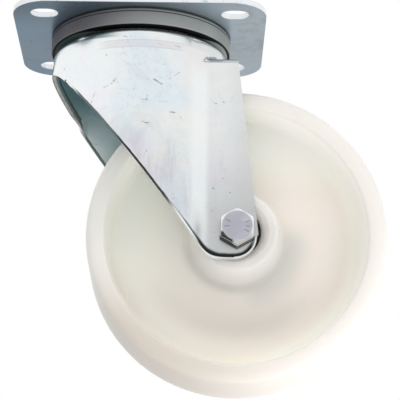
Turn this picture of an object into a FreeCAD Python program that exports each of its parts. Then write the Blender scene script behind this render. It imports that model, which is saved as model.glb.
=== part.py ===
import FreeCAD
import Part
import math
import os

import Sketcher

# Swivel castor with a slotted top plate, a pressed fork and a solid white wheel.
# Frame: millimetres, +Z up, origin on the top face of the plate at the swivel axis.
# The wheel trails towards +X and its axle lies along Y.

doc = FreeCAD.newDocument("swivel_castor")
sheet = doc.addObject("Spreadsheet::Sheet", "Dimensions")


class Size:
    """A number that remembers the formula it came from, so that it can be bound to a property."""

    def __init__(self, value, text):
        self.value = value
        self.text = text

    def __add__(self, other):
        return join(self, "+", other)

    def __radd__(self, other):
        return join(other, "+", self)

    def __sub__(self, other):
        return join(self, "-", other)

    def __rsub__(self, other):
        return join(other, "-", self)

    def __mul__(self, other):
        return join(self, "*", other)

    def __rmul__(self, other):
        return join(other, "*", self)

    def __truediv__(self, other):
        return join(self, "/", other)

    def __rtruediv__(self, other):
        return join(other, "/", self)

    def __neg__(self):
        return join(0, "-", self)


def as_size(number):
    return number if isinstance(number, Size) else Size(float(number), repr(float(number)))


def join(left, sign, right):
    left = as_size(left)
    right = as_size(right)
    results = {
        "+": lambda: left.value + right.value,
        "-": lambda: left.value - right.value,
        "*": lambda: left.value * right.value,
        "/": lambda: left.value / right.value,
    }
    return Size(results[sign](), f"({left.text} {sign} {right.text})")


def root(size):
    return Size(math.sqrt(size.value), f"sqrt({size.text})")


row = 0


def dimension(alias, value):
    """Writes one driving dimension into the sheet and returns it as a Size."""
    global row
    row += 1
    sheet.set(f"A{row}", alias)
    sheet.set(f"B{row}", str(value))
    sheet.setAlias(f"B{row}", alias)
    return Size(float(value), f"Dimensions.{alias}")


# Top plate
plate_length = dimension("plate_length", 137)
plate_width = dimension("plate_width", 112)
plate_gauge = dimension("plate_gauge", 3)
plate_corner = dimension("plate_corner", 20)
slot_edge_long = dimension("slot_edge_long", 17)
slot_edge_wide = dimension("slot_edge_wide", 16.5)
slot_width = dimension("slot_width", 12)
slot_length = dimension("slot_length", 15)
dish_floor_radius = dimension("dish_floor_radius", 14)
dish_slope = dimension("dish_slope", 4)
dish_depth = dimension("dish_depth", 8.5)

# Swivel bearing
crown_depth = dimension("crown_depth", 13.5)
upper_ball_diameter = dimension("upper_ball_diameter", 9)
lower_ball_diameter = dimension("lower_ball_diameter", 7)
track_spacing = dimension("track_spacing", 10)
ball_spacing = dimension("ball_spacing", 0.4)
track_depth = dimension("track_depth", 1)
ball_clearance = dimension("ball_clearance", 0.05)
race_land = dimension("race_land", 5.5)
cup_gauge = dimension("cup_gauge", 2.5)
cup_land = dimension("cup_land", 4.5)
cup_hub_room = dimension("cup_hub_room", 2.5)
cup_bend = dimension("cup_bend", 3.5)
seal_overhang = dimension("seal_overhang", 8.3)
seal_drop = dimension("seal_drop", 9.5)
seal_wall = dimension("seal_wall", 2.2)
seal_flange = dimension("seal_flange", 2)
seal_lip = dimension("seal_lip", 1.2)
seal_gap = dimension("seal_gap", 0.4)
seal_step = dimension("seal_step", 0.6)

# Kingpin
kingpin_diameter = dimension("kingpin_diameter", 12)
kingpin_head_height = dimension("kingpin_head_height", 7.5)
kingpin_flats = dimension("kingpin_flats", 18)
kingpin_nut_height = dimension("kingpin_nut_height", 10)
kingpin_nut_room = dimension("kingpin_nut_room", 7)
bolt_end = dimension("bolt_end", 2.5)
bolt_hole_play = dimension("bolt_hole_play", 0.2)

# Fork
fork_gauge = dimension("fork_gauge", 3)
crown_overhang = dimension("crown_overhang", 12.3)
crown_shoulder = dimension("crown_shoulder", 7)
crown_hole_land = dimension("crown_hole_land", 5)
leg_gap = dimension("leg_gap", 60)
leg_crease = dimension("leg_crease", 12)
hood_depth = dimension("hood_depth", 25)
hood_edge = dimension("hood_edge", 3.6)
hood_length = dimension("hood_length", 52.4)
leg_tip_reach = dimension("leg_tip_reach", 11.8)
leg_tip_drop = dimension("leg_tip_drop", 16)
leg_tip_back = dimension("leg_tip_back", 15)
leg_front_round = dimension("leg_front_round", 12)
leg_rear_round = dimension("leg_rear_round", 10)
arch_depth = dimension("arch_depth", 26.5)

# Wheel and axle
trail = dimension("trail", 53)
wheel_diameter = dimension("wheel_diameter", 160)
wheel_room = dimension("wheel_room", 13)
wheel_width = dimension("wheel_width", 50)
tread_round = dimension("tread_round", 5)
rim_wall = dimension("rim_wall", 9.5)
rim_slope = dimension("rim_slope", 3)
web_outer_thickness = dimension("web_outer_thickness", 16)
web_inner_thickness = dimension("web_inner_thickness", 20)
web_round = dimension("web_round", 4)
rim_edge_round = dimension("rim_edge_round", 1.2)
hub_slope = dimension("hub_slope", 4.5)
hub_base_round = dimension("hub_base_round", 2)
hub_land = dimension("hub_land", 4.5)
hub_edge_round = dimension("hub_edge_round", 0.8)
hub_play = dimension("hub_play", 0.7)
hub_mouth_slope = dimension("hub_mouth_slope", 4)
hub_mouth_depth = dimension("hub_mouth_depth", 2.4)
axle_tube_diameter = dimension("axle_tube_diameter", 18)
roller_diameter = dimension("roller_diameter", 3.9)
roller_clearance = dimension("roller_clearance", 0.05)
roller_count = 12
cage_wall = dimension("cage_wall", 3.1)
cage_end_play = dimension("cage_end_play", 2.5)
cage_end_bar = dimension("cage_end_bar", 4.5)
pocket_play = dimension("pocket_play", 0.15)
axle_bolt_diameter = dimension("axle_bolt_diameter", 10)
axle_head_height = dimension("axle_head_height", 6)
axle_flats = dimension("axle_flats", 17)
washer_face = dimension("washer_face", 0.4)
washer_face_step = dimension("washer_face_step", 0.4)
head_chamfer = dimension("head_chamfer", 0.35)
seat_play = dimension("seat_play", 0.5)
axle_washer_radius = dimension("axle_washer_radius", 10)
axle_washer_gauge = dimension("axle_washer_gauge", 2)
axle_nut_height = dimension("axle_nut_height", 8)
nut_collar_height = dimension("nut_collar_height", 3)
nut_collar_radius = dimension("nut_collar_radius", 7.4)
insert_radius = dimension("insert_radius", 6.4)

chamfer_slope = root(Size(3.0, "3"))

doc.recompute()

# Heights worked out from the sizes above
plate_under = -plate_gauge
crown_top = -crown_depth
crown_under = crown_top - fork_gauge
cup_hub_radius = kingpin_flats / 2 + kingpin_nut_room + cup_gauge
crown_hole_radius = cup_hub_radius + cup_hub_room
lower_track_radius = crown_hole_radius + crown_hole_land
upper_track_radius = lower_track_radius + track_spacing
crown_radius = upper_track_radius + crown_overhang
upper_track_tube = upper_ball_diameter / 2 + ball_clearance
upper_ball_height = crown_top - track_depth + upper_track_tube
race_under = upper_ball_height + upper_track_tube - track_depth
race_inner_radius = upper_track_radius - race_land
race_outer_radius = upper_track_radius + race_land
seal_radius = race_outer_radius + seal_overhang
cup_outer_radius = lower_track_radius + cup_land
lower_track_tube = lower_ball_diameter / 2 + ball_clearance
lower_ball_height = crown_under + track_depth - lower_track_tube
cup_track_top = lower_ball_height - lower_track_tube + track_depth
dish_under = -dish_depth - plate_gauge
dish_mouth_radius = dish_floor_radius + dish_slope
leg_outside = leg_gap / 2 + fork_gauge
tube_radius = axle_tube_diameter / 2
slot_x = plate_length / 2 - slot_edge_long
slot_y = plate_width / 2 - slot_edge_wide
roller_orbit = tube_radius + roller_clearance + roller_diameter / 2
bore_radius = roller_orbit + roller_diameter / 2 + roller_clearance
hub_mouth_radius = bore_radius + hub_mouth_slope
hub_face_radius = hub_mouth_radius + hub_land
hub_base_radius = hub_face_radius + hub_slope
rim_inner_radius = wheel_diameter / 2 - rim_wall
web_outer_radius = rim_inner_radius - rim_slope
hub_half = leg_gap / 2 - hub_play
cage_length = leg_gap - 2 * cage_end_play
roller_length = cage_length - 2 * cage_end_bar
hood_under = hood_depth + fork_gauge
axle_drop = hood_under + wheel_room + wheel_diameter / 2
hood_bottom = -hood_depth - hood_edge * 2
leg_floor = -axle_drop - leg_tip_drop - leg_front_round
inner_crown_radius = crown_radius - fork_gauge

near_zero = 0.01
parts = []


def bind(thing, name, size):
    """Binds one property, or one named datum of a sketch, to its formula."""
    thing.setExpression(name, as_size(size).text)


def place(thing, x=0, y=0, z=0, axis=(0, 0, 1), angle=0):
    """Turns a feature by a fixed angle and binds where it stands."""
    spot = FreeCAD.Vector(as_size(x).value, as_size(y).value, as_size(z).value)
    thing.Placement = FreeCAD.Placement(spot, FreeCAD.Rotation(FreeCAD.Vector(*axis), angle))
    for letter, size in (("x", x), ("y", y), ("z", z)):
        if isinstance(size, Size):
            bind(thing, f"Placement.Base.{letter}", size)


def keep(thing, label):
    """Names a finished sub-part, so that it is checked and written at the end."""
    thing.Label = label
    parts.append(thing)
    return thing


def new_body(name):
    return doc.addObject("PartDesign::Body", name)


def new_sketch(body, name, plane, offset=None):
    """A sketch on one of its own body's origin planes, lifted off it by offset."""
    sketch = body.newObject("Sketcher::SketchObject", name)
    base = [item for item in body.Origin.OriginFeatures if item.Role == plane][0]
    sketch.AttachmentSupport = [(base, "")]
    sketch.MapMode = "FlatFace"
    if offset is not None:
        bind(sketch, "AttachmentOffset.Base.z", offset)
    return sketch


def datum(sketch, kind, where, size):
    """Adds a dimension to a sketch and binds it to its formula."""
    size = as_size(size)
    number = sketch.addConstraint(Sketcher.Constraint(kind, *where, size.value))
    sketch.setExpression(f"Constraints[{number}]", size.text)


def pin_point(sketch, geometry, end, x, y):
    """Fixes one end of a line, or a point, at bound distances from the sketch's origin."""
    datum(sketch, "DistanceX", (-1, 1, geometry, end), x)
    datum(sketch, "DistanceY", (-1, 1, geometry, end), y)


def unit(start, finish):
    step = finish - start
    return step / step.Length


def outline(sketch, corners):
    """Draws a closed outline. Each corner is (x, y) or, with its corner rounded, (x, y, radius)."""
    spots = [FreeCAD.Vector(as_size(c[0]).value, as_size(c[1]).value, 0) for c in corners]
    count = len(corners)
    starts = []
    ends = []
    for index, corner in enumerate(corners):
        back = unit(spots[index], spots[index - 1])
        ahead = unit(spots[index], spots[(index + 1) % count])
        setback = 0
        if len(corner) == 3:
            half = back.getAngle(ahead) / 2
            setback = as_size(corner[2]).value / math.tan(half)
        ends.append(spots[index] + back * setback)
        starts.append(spots[index] + ahead * setback)
    lines = []
    for index in range(count):
        edge = Part.LineSegment(starts[index], ends[(index + 1) % count])
        lines.append(sketch.addGeometry(edge))
    for index, corner in enumerate(corners):
        line_in = lines[index - 1]
        line_out = lines[index]
        if len(corner) == 2:
            sketch.addConstraint(Sketcher.Constraint("Coincident", line_in, 2, line_out, 1))
            pin_point(sketch, line_out, 1, corner[0], corner[1])
        else:
            round_corner(sketch, line_in, line_out, spots[index], ends[index], starts[index], corner)


def round_corner(sketch, line_in, line_out, spot, arc_start, arc_end, corner):
    """Joins two lines with a tangent arc, and pins the sharp corner that they would have met in."""
    radius = as_size(corner[2])
    towards = ((arc_start - spot) + (arc_end - spot)).normalize()
    half = unit(spot, arc_start).getAngle(unit(spot, arc_end)) / 2
    centre = spot + towards * (radius.value / math.sin(half))
    first = math.atan2(arc_start.y - centre.y, arc_start.x - centre.x)
    last = math.atan2(arc_end.y - centre.y, arc_end.x - centre.x)
    anticlockwise = (arc_start - centre).cross(arc_end - centre).z > 0
    circle = Part.Circle(centre, FreeCAD.Vector(0, 0, 1), radius.value)
    if anticlockwise:
        arc = sketch.addGeometry(Part.ArcOfCircle(circle, first, last))
        near, far = 1, 2
    else:
        arc = sketch.addGeometry(Part.ArcOfCircle(circle, last, first))
        near, far = 2, 1
    sketch.addConstraint(Sketcher.Constraint("Tangent", line_in, 2, arc, near))
    sketch.addConstraint(Sketcher.Constraint("Tangent", line_out, 1, arc, far))
    datum(sketch, "Radius", (arc,), radius)
    point = sketch.addGeometry(Part.Point(spot), True)
    sketch.addConstraint(Sketcher.Constraint("PointOnObject", point, 1, line_in))
    sketch.addConstraint(Sketcher.Constraint("PointOnObject", point, 1, line_out))
    pin_point(sketch, point, 1, corner[0], corner[1])


def circle(sketch, x, y, radius):
    """Draws a full circle with a bound centre and radius."""
    centre = FreeCAD.Vector(as_size(x).value, as_size(y).value, 0)
    ring = sketch.addGeometry(Part.Circle(centre, FreeCAD.Vector(0, 0, 1), as_size(radius).value))
    pin_point(sketch, ring, 3, x, y)
    datum(sketch, "Radius", (ring,), radius)


def pad(body, name, sketch, length, midplane=False, reverse=False):
    feature = body.newObject("PartDesign::Pad", name)
    feature.Profile = sketch
    bind(feature, "Length", length)
    feature.Midplane = midplane
    feature.Reversed = reverse
    sketch.Visibility = False
    return feature


def pocket(body, name, sketch, length, reverse=False):
    feature = body.newObject("PartDesign::Pocket", name)
    feature.Profile = sketch
    bind(feature, "Length", length)
    feature.Reversed = reverse
    return feature


def turned(body, name, sketch, kind="Revolution"):
    """Turns a profile once round the sketch's own vertical axis."""
    feature = body.newObject(f"PartDesign::{kind}", name)
    feature.Profile = sketch
    feature.ReferenceAxis = (sketch, ["V_Axis"])
    feature.Angle = 360
    return feature


def turned_part(name, corners, track=None):
    """A turned or pressed ring: one profile in X and Z round the vertical axis, with a ball track."""
    body = new_body(name)
    sketch = new_sketch(body, f"{name}_profile", "XZ_Plane")
    outline(sketch, corners)
    turned(body, f"{name}_turned", sketch)
    if track is not None:
        cutter = new_sketch(body, f"{name}_track_profile", "XZ_Plane")
        circle(cutter, *track)
        turned(body, f"{name}_track", cutter, "Groove")
    return keep(body, name)


def cylinder(name, radius, height, **where):
    feature = doc.addObject("Part::Cylinder", name)
    bind(feature, "Radius", radius)
    bind(feature, "Height", height)
    place(feature, **where)
    return feature


def ring_tube(name, ring, tube, height):
    """A torus round the swivel axis, at its own height."""
    feature = doc.addObject("Part::Torus", name)
    bind(feature, "Radius1", ring)
    bind(feature, "Radius2", tube)
    place(feature, z=height)
    return feature


def fuse(name, *pieces):
    feature = doc.addObject("Part::MultiFuse", name)
    feature.Shapes = list(pieces)
    return feature


def cut(name, base, tool):
    feature = doc.addObject("Part::Cut", name)
    feature.Base = base
    feature.Tool = tool
    return feature


def common(name, first, second):
    feature = doc.addObject("Part::Common", name)
    feature.Base = first
    feature.Tool = second
    return feature


def hexagon(name, flats, height, **where):
    """A six-sided prism, given by its width across flats, with two corners on its own Y axis."""
    feature = doc.addObject("Part::Prism", name)
    feature.Polygon = 6
    bind(feature, "Circumradius", flats / root(Size(3.0, "3")))
    bind(feature, "Height", height)
    place(feature, **where)
    return feature


def hex_blank(name, flats, height, bottom):
    """A hexagon whose corners are turned off at the top, as on a bolt head or nut."""
    prism = hexagon(f"{name}_hexagon", flats, height, z=bottom, angle=30)
    chamfer = doc.addObject("Part::Cone", f"{name}_chamfer")
    top_radius = flats / 2 - head_chamfer
    bind(chamfer, "Radius1", top_radius + height * chamfer_slope)
    bind(chamfer, "Radius2", top_radius)
    bind(chamfer, "Height", height)
    place(chamfer, z=bottom)
    return common(name, prism, chamfer)


# Top plate

def top_plate():
    body = new_body("top_plate")
    blank = new_sketch(body, "plate_outline", "XY_Plane")
    half_length = plate_length / 2
    half_width = plate_width / 2
    outline(blank, [
        (half_length, half_width, plate_corner),
        (-half_length, half_width, plate_corner),
        (-half_length, -half_width, plate_corner),
        (half_length, -half_width, plate_corner),
    ])
    pad(body, "plate_blank", blank, plate_gauge, reverse=True)
    dish = new_sketch(body, "dish_outside", "XZ_Plane")
    outline(dish, [
        (0, plate_under / 2),
        (dish_mouth_radius + plate_gauge, plate_under / 2),
        (dish_mouth_radius + plate_gauge, plate_under),
        (dish_floor_radius + plate_gauge, dish_under, plate_gauge / 2),
        (0, dish_under),
    ])
    turned(body, "dish_pressing", dish)
    hollow = new_sketch(body, "dish_inside", "XZ_Plane")
    outline(hollow, [
        (0, plate_gauge),
        (dish_mouth_radius + plate_gauge, plate_gauge),
        (dish_mouth_radius, 0),
        (dish_floor_radius, -dish_depth),
        (0, -dish_depth),
    ])
    turned(body, "dish_hollow", hollow, "Groove")
    hole = new_sketch(body, "kingpin_hole_outline", "XY_Plane")
    circle(hole, 0, 0, (kingpin_diameter + bolt_hole_play) / 2)
    pocket(body, "kingpin_hole", hole, dish_depth + 2 * plate_gauge)
    slots = new_sketch(body, "slot_outline", "XY_Plane")
    for side_x in (-1, 1):
        for side_y in (-1, 1):
            slot(slots, slot_x * side_x, slot_y * side_y)
    pocket(body, "slots", slots, 2 * plate_gauge)
    return keep(body, "top_plate")


def slot(sketch, x, y):
    """One slot along X: a rectangle whose corners are rounded to half its width."""
    half_width = slot_width / 2
    straight = (slot_length - slot_width) / 2
    top = sketch.addGeometry(Part.LineSegment(
        FreeCAD.Vector((x - straight).value, (y + half_width).value, 0),
        FreeCAD.Vector((x + straight).value, (y + half_width).value, 0)))
    bottom = sketch.addGeometry(Part.LineSegment(
        FreeCAD.Vector((x + straight).value, (y - half_width).value, 0),
        FreeCAD.Vector((x - straight).value, (y - half_width).value, 0)))
    normal = FreeCAD.Vector(0, 0, 1)
    quarter = math.pi / 2
    right_centre = FreeCAD.Vector((x + straight).value, y.value, 0)
    left_centre = FreeCAD.Vector((x - straight).value, y.value, 0)
    right = sketch.addGeometry(Part.ArcOfCircle(
        Part.Circle(right_centre, normal, half_width.value), -quarter, quarter))
    left = sketch.addGeometry(Part.ArcOfCircle(
        Part.Circle(left_centre, normal, half_width.value), quarter, 3 * quarter))
    for first, end, second, start in ((top, 2, right, 2), (right, 1, bottom, 1),
                                      (bottom, 2, left, 2), (left, 1, top, 1)):
        sketch.addConstraint(Sketcher.Constraint("Tangent", first, end, second, start))
    sketch.addConstraint(Sketcher.Constraint("Horizontal", top))
    pin_point(sketch, right, 3, x + straight, y)
    datum(sketch, "DistanceX", (-1, 1, left, 3), x - straight)
    datum(sketch, "Radius", (right,), half_width)


# Swivel bearing

def upper_race_ring():
    return turned_part("upper_race_ring", [
        (race_inner_radius, plate_under),
        (race_outer_radius, plate_under),
        (race_outer_radius, race_under),
        (race_inner_radius, race_under),
    ], track=(upper_track_radius, upper_ball_height, upper_track_tube))


def seal_ring():
    bottom = plate_under - seal_drop
    inside = seal_radius - seal_wall
    lip_under = crown_top + seal_gap
    return turned_part("seal_ring", [
        (race_outer_radius, plate_under),
        (seal_radius - seal_step, plate_under),
        (seal_radius - seal_step, plate_under - seal_step),
        (seal_radius, plate_under - seal_step),
        (seal_radius, bottom, seal_step),
        (inside, bottom),
        (race_outer_radius, lip_under),
        (race_outer_radius, lip_under + seal_lip),
        (inside, bottom + seal_flange),
        (inside, plate_under - seal_flange),
        (race_outer_radius, plate_under - seal_flange),
    ])


def lower_race_cup():
    cup_top = dish_under
    brim_under = cup_track_top - cup_gauge
    hole_radius = (kingpin_diameter + bolt_hole_play) / 2
    return turned_part("lower_race_cup", [
        (hole_radius, cup_top),
        (cup_hub_radius, cup_top, cup_bend),
        (cup_hub_radius, cup_track_top, cup_bend / 2),
        (cup_outer_radius, cup_track_top),
        (cup_outer_radius, brim_under),
        (cup_hub_radius - cup_gauge, brim_under, cup_bend),
        (cup_hub_radius - cup_gauge, cup_top - cup_gauge, cup_bend / 2),
        (hole_radius, cup_top - cup_gauge),
    ], track=(lower_track_radius, lower_ball_height, lower_track_tube))


def ball_set(label, diameter, ring, height):
    """One full row of loose balls, evenly spread round the track, as separate solids."""
    balls = []
    pitch = diameter.value + ball_spacing.value
    count = int(2 * math.pi * ring.value / pitch)
    for index in range(count):
        ball = doc.addObject("Part::Sphere", f"{label}_{index + 1:02d}")
        bind(ball, "Radius", diameter / 2)
        angle = 360 / count * index
        place(ball, x=ring * math.cos(math.radians(angle)),
              y=ring * math.sin(math.radians(angle)), z=height)
        balls.append(ball)
    group = doc.addObject("Part::Compound", label)
    group.Links = balls
    return keep(group, label)


# Kingpin

def kingpin():
    seat = -dish_depth
    length = plate_gauge + cup_gauge + kingpin_nut_height + bolt_end
    head = hex_blank("kingpin_head", kingpin_flats, kingpin_head_height, seat)
    shank = cylinder("kingpin_shank", kingpin_diameter / 2, length, z=seat - length)
    keep(fuse("kingpin_bolt_solid", head, shank), "kingpin_bolt")
    nut_top = dish_under - cup_gauge
    nut = hex_blank("kingpin_nut_blank", kingpin_flats, kingpin_nut_height, 0)
    bore = cylinder("kingpin_nut_bore", kingpin_diameter / 2, kingpin_nut_height)
    nut_solid = cut("kingpin_nut_solid", nut, bore)
    place(nut_solid, z=nut_top, axis=(1, 0, 0), angle=180)
    keep(nut_solid, "kingpin_nut")


# Fork

def crown_body(name, radius, top, shoulder, bottom):
    """The drawn cup at the head of the fork, as a solid with a rounded shoulder."""
    body = new_body(name)
    profile = new_sketch(body, f"{name}_profile", "XZ_Plane")
    outline(profile, [
        (0, top),
        (radius, top, shoulder),
        (radius, bottom),
        (0, bottom),
    ])
    turned(body, f"{name}_turned", profile)
    return body


def leg_body(name, radius, half_gap, crease, top, edge, bottom):
    """The skirt of the fork, as a solid: round behind, with two flat cheeks in front."""
    body = new_body(name)
    plan = new_sketch(body, f"{name}_plan", "XY_Plane", offset=top)
    front = trail + leg_tip_reach + leg_front_round
    side = half_gap + crease
    reach = root((radius + crease) * (radius + crease) - side * side)
    nose = FreeCAD.Vector(front.value, half_gap.value, 0)
    bend = FreeCAD.Vector(reach.value, half_gap.value, 0)
    up = FreeCAD.Vector(0, 0, 1)
    middle = FreeCAD.Vector(0, 0, 0)
    angle = math.atan2(side.value, reach.value)
    back = plan.addGeometry(Part.ArcOfCircle(
        Part.Circle(middle, up, radius.value), angle, 2 * math.pi - angle))
    upper_centre = FreeCAD.Vector(reach.value, side.value, 0)
    lower_centre = FreeCAD.Vector(reach.value, -side.value, 0)
    upper_fold = plan.addGeometry(Part.ArcOfCircle(
        Part.Circle(upper_centre, up, crease.value), math.pi + angle, 1.5 * math.pi))
    lower_fold = plan.addGeometry(Part.ArcOfCircle(
        Part.Circle(lower_centre, up, crease.value), 0.5 * math.pi, math.pi - angle))
    upper_side = plan.addGeometry(Part.LineSegment(bend, nose))
    end = plan.addGeometry(Part.LineSegment(nose, FreeCAD.Vector(nose.x, -nose.y, 0)))
    lower_side = plan.addGeometry(Part.LineSegment(
        FreeCAD.Vector(nose.x, -nose.y, 0), FreeCAD.Vector(bend.x, -bend.y, 0)))
    for first, last, second, start in (
            (back, 1, upper_fold, 1), (upper_fold, 2, upper_side, 1),
            (lower_side, 2, lower_fold, 1), (lower_fold, 2, back, 2)):
        plan.addConstraint(Sketcher.Constraint("Tangent", first, last, second, start))
    plan.addConstraint(Sketcher.Constraint("Coincident", upper_side, 2, end, 1))
    plan.addConstraint(Sketcher.Constraint("Coincident", end, 2, lower_side, 1))
    plan.addConstraint(Sketcher.Constraint("Horizontal", upper_side))
    plan.addConstraint(Sketcher.Constraint("Horizontal", lower_side))
    pin_point(plan, back, 3, 0, 0)
    datum(plan, "Radius", (back,), radius)
    datum(plan, "Radius", (upper_fold,), crease)
    datum(plan, "Radius", (lower_fold,), crease)
    datum(plan, "DistanceY", (-1, 1, upper_fold, 3), side)
    datum(plan, "DistanceY", (-1, 1, lower_fold, 3), -side)
    datum(plan, "DistanceX", (-1, 1, upper_side, 2), front)
    datum(plan, "DistanceX", (-1, 1, lower_side, 1), front)
    block = pad(body, f"{name}_block", plan, top - bottom, reverse=True)
    doc.recompute()
    top_edges = []
    for index, shape_edge in enumerate(block.Shape.Edges):
        box = shape_edge.BoundBox
        at_top = box.ZMin > top.value - near_zero
        at_front = box.XMin > front.value - near_zero
        if at_top and not at_front:
            top_edges.append(f"Edge{index + 1}")
    rounding = body.newObject("PartDesign::Fillet", f"{name}_rounding")
    rounding.Base = (block, top_edges)
    bind(rounding, "Radius", edge)
    return body


def side_body():
    """The outline of the fork seen from the side, as a block through the whole width."""
    body = new_body("fork_side")
    view = new_sketch(body, "fork_side_outline", "XZ_Plane")
    tip = -axle_drop - leg_tip_drop
    tip_front = trail + leg_tip_reach
    tip_rear = trail - leg_tip_back
    slope = (tip_front - hood_length) / (-hood_depth - tip)
    front_top = hood_length - slope * hood_depth
    cut_slope = (-arch_depth - tip) / (tip_rear + crown_radius)
    rear = -crown_radius - leg_rear_round
    rear_height = -arch_depth + cut_slope * leg_rear_round
    outline(view, [
        (rear, 0),
        (rear, rear_height),
        (tip_rear, tip, leg_rear_round),
        (tip_front, tip, leg_front_round),
        (front_top, 0),
    ])
    pad(body, "fork_side_block", view, 2 * (crown_radius + fork_gauge), midplane=True)
    return body


def fork():
    outside_crown = crown_body(
        "crown_outside", crown_radius, crown_top, crown_shoulder, hood_bottom)
    inside_crown = crown_body(
        "crown_inside", inner_crown_radius, crown_under, crown_shoulder - fork_gauge, hood_bottom)
    outside_legs = leg_body(
        "legs_outside", crown_radius, leg_outside, leg_crease, -hood_depth, hood_edge, leg_floor)
    inside_legs = leg_body(
        "legs_inside", inner_crown_radius, leg_gap / 2, leg_crease + fork_gauge, -hood_under,
        hood_edge - fork_gauge, leg_floor)
    upper_groove = ring_tube("upper_groove", upper_track_radius, upper_track_tube, upper_ball_height)
    upper_bulge = ring_tube(
        "upper_bulge", upper_track_radius, upper_track_tube + fork_gauge, upper_ball_height)
    lower_groove = ring_tube("lower_groove", lower_track_radius, lower_track_tube, lower_ball_height)
    lower_bulge = ring_tube(
        "lower_bulge", lower_track_radius, lower_track_tube + fork_gauge, lower_ball_height)
    full = fuse("fork_outside", outside_crown, outside_legs, lower_bulge)
    outside = cut("fork_outside_track", full, upper_groove)
    hollow = cut("fork_inside", fuse("fork_inside_full", inside_crown, inside_legs), upper_bulge)
    inside = fuse("fork_inside_track", hollow, lower_groove)
    sheet_metal = cut("fork_sheet", outside, inside)
    trimmed = common("fork_trimmed", sheet_metal, side_body())
    crown_hole = cylinder("crown_hole", crown_hole_radius, hood_under, z=-hood_under)
    axle_hole = cylinder(
        "axle_hole", (axle_bolt_diameter + bolt_hole_play) / 2, 2 * crown_radius,
        x=trail, y=crown_radius, z=-axle_drop, axis=(1, 0, 0), angle=90)
    holes = fuse("fork_holes", crown_hole, axle_hole)
    seats = fuse("axle_seats", axle_seat("near_seat", -1), axle_seat("far_seat", 1))
    return keep(cut("fork_solid", cut("fork_pierced", trimmed, holes), seats), "fork")


def axle_seat(name, side):
    """Clears a flat round seat for the washer where the round of the crown comes close to the axle."""
    seat_depth = crown_radius - leg_outside
    middle = (leg_outside + seat_depth / 2) * side
    return cylinder(
        name, axle_washer_radius + seat_play, seat_depth, x=trail,
        y=middle + seat_depth / 2, z=-axle_drop, axis=(1, 0, 0), angle=90)


# Wheel and its roller bearing

def across_axle(name, corners):
    """A profile turned about the wheel's axle, drawn as radius and distance from the middle."""
    body = new_body(name)
    profile = new_sketch(body, f"{name}_profile", "XY_Plane")
    outline(profile, corners)
    turned(body, f"{name}_turned", profile)
    place(body, x=trail, z=-axle_drop)
    return body


def wheel():
    half = [
        (bore_radius, hub_half - hub_mouth_depth),
        (hub_mouth_radius, hub_half),
        (hub_face_radius, hub_half, hub_edge_round),
        (hub_base_radius, web_inner_thickness / 2, hub_base_round),
        (web_outer_radius, web_outer_thickness / 2, web_round),
        (rim_inner_radius, wheel_width / 2, rim_edge_round),
        (wheel_diameter / 2, wheel_width / 2, tread_round),
    ]
    other = [(corner[0], -corner[1]) + corner[2:] for corner in reversed(half)]
    return keep(across_axle("wheel", half + other), "wheel")


def axle_tube():
    inner = (axle_bolt_diameter + bolt_hole_play) / 2
    half = leg_gap / 2
    corners = [(inner, -half), (tube_radius, -half), (tube_radius, half), (inner, half)]
    return keep(across_axle("axle_tube", corners), "axle_tube")


def roller_cage():
    inside = roller_orbit - cage_wall / 2
    outside = roller_orbit + cage_wall / 2
    half = cage_length / 2
    blank = across_axle(
        "cage_blank", [(inside, -half), (outside, -half), (outside, half), (inside, half)])
    pockets = []
    for index in range(roller_count):
        pockets.append(roller_blank(
            f"pocket_{index + 1:02d}", index, roller_diameter / 2 + pocket_play,
            roller_length + 2 * pocket_play))
    return keep(cut("cage_solid", blank, fuse("pockets", *pockets)), "roller_cage")


def roller_blank(name, index, radius, length):
    """One roller, or its pocket, lying along the axle at its own place round it."""
    angle = math.radians(360 / roller_count * (index + 0.5))
    return cylinder(
        name, radius, length, x=trail + roller_orbit * math.cos(angle), y=length / 2,
        z=-axle_drop + roller_orbit * math.sin(angle), axis=(1, 0, 0), angle=90)


def rollers():
    for index in range(roller_count):
        name = f"roller_{index + 1:02d}"
        keep(roller_blank(f"{name}_solid", index, roller_diameter / 2, roller_length), name)


# Axle bolt and nut

def along_axle(thing, y):
    """Lays a piece that was made upright along the axle, its foot at y and its top towards +Y."""
    place(thing, x=trail, y=y, z=-axle_drop, axis=(1, 0, 0), angle=-90)


def axle_bolt():
    grip = 2 * leg_outside + axle_washer_gauge + axle_nut_height + nut_collar_height
    head = hex_blank("axle_head", axle_flats, axle_head_height, 0)
    face = cylinder("axle_washer_face", axle_flats / 2 - washer_face_step, washer_face, z=-washer_face)
    shank = cylinder(
        "axle_shank", axle_bolt_diameter / 2, grip + bolt_end + washer_face,
        z=-grip - bolt_end - washer_face)
    bolt = fuse("axle_bolt_solid", head, face, shank)
    place(bolt, x=trail, y=-leg_outside - washer_face, z=-axle_drop, axis=(1, 0, 0), angle=90)
    return keep(bolt, "axle_bolt")


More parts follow.
